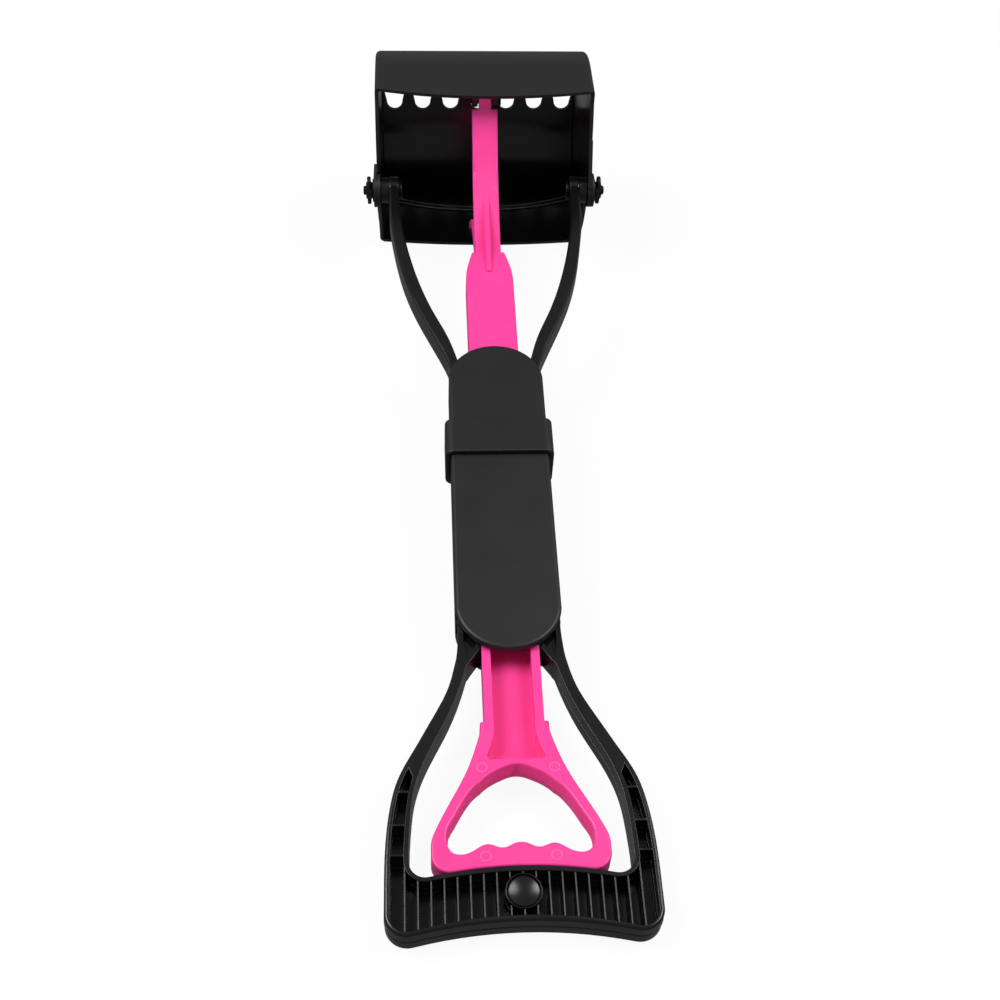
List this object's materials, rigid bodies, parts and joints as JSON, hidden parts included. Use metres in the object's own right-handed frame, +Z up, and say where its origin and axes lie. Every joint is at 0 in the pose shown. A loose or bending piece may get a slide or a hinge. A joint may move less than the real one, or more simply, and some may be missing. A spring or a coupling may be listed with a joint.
{
  "type": "pooper scooper",
  "caption": "Folding pet waste scooper: D grip, pull handle on a rod, toothed clamshell jaws on a long fork, and a sliding lock sleeve over the fold.",
  "frame": {"origin": "on the surface that the tool lies on, at the centre of its bounding box's base", "axes": "+Y along the tool from the grip to the jaws, +Z up from the surface, towards the front face, +X to the right"},
  "size_m": [0.16, 0.6212, 0.1293],
  "materials": {
    "black_plastic": "satin black moulded plastic",
    "nut_plastic": "satin black moulded plastic",
    "pink_plastic": "satin pink moulded plastic",
    "zinc_steel": "zinc plated"
  },
  "bodies": {
    "handle_half": {"handle_frame": "black_plastic", "handle_front_cover": "black_plastic", "handle_back_cover": "black_plastic", "handle_cover_screws": "zinc_steel", "fold_pin": "zinc_steel"},
    "lock_sleeve": {"lock_sleeve": "black_plastic"},
    "trigger": {"trigger_handle": "pink_plastic"},
    "fork_half": {"fork_frame": "black_plastic", "fork_front_cover": "black_plastic", "fork_back_cover": "black_plastic", "fork_cover_screws": "zinc_steel", "return_spring": "zinc_steel", "spring_seat": "zinc_steel", "left_pivot_bolt": "zinc_steel", "right_pivot_bolt": "zinc_steel", "left_pivot_bush": "black_plastic", "right_pivot_bush": "black_plastic", "left_pivot_washer": "zinc_steel", "right_pivot_washer": "zinc_steel", "left_wing_nut": "nut_plastic", "right_wing_nut": "nut_plastic"},
    "yoke": {"yoke": "pink_plastic"},
    "front_jaw": {"front_jaw": "black_plastic", "front_jaw_pin": "zinc_steel"},
    "back_jaw": {"back_jaw": "black_plastic", "back_jaw_pin": "zinc_steel"}
  },
  "joints": [
    {"name": "fold", "type": "hinge", "parent": "handle_half", "child": "fork_half", "pos_m": [0, -0.01454, 0.0267], "axis": [-1, 0, 0], "range_deg": [0, 160]},
    {"name": "trigger_slide", "type": "slide", "parent": "handle_half", "child": "trigger", "axis": [0, 0.9944, 0.1059], "range_m": [0, 0.036]},
    {"name": "yoke_slide", "type": "slide", "parent": "fork_half", "child": "yoke", "axis": [0, -0.9944, -0.1059], "range_m": [0, 0.038], "stiffness_N_per_m": 500, "springref_m": -0.008, "deforming": ["return_spring"]},
    {"name": "front_jaw_hinge", "type": "hinge", "parent": "fork_half", "child": "front_jaw", "pos_m": [0, 0.2019, 0.06233], "axis": [1, 0, 0], "range_deg": [0, 38.5]},
    {"name": "back_jaw_hinge", "type": "hinge", "parent": "fork_half", "child": "back_jaw", "pos_m": [0, 0.2019, 0.06233], "axis": [-1, 0, 0], "range_deg": [0, 38.5]},
    {"name": "sleeve_slide", "type": "slide", "parent": "handle_half", "child": "lock_sleeve", "axis": [0, -0.9944, -0.1059], "range_m": [0, 0.0281]}
  ],
  "couplings": [
    {"joint": "front_jaw_hinge", "follows": "yoke_slide", "rad_per_m": 17.628},
    {"joint": "back_jaw_hinge", "follows": "yoke_slide", "rad_per_m": 17.628},
    {"joint": "sleeve_slide", "follows": "fold", "m_per_rad": 0.010027}
  ]
}
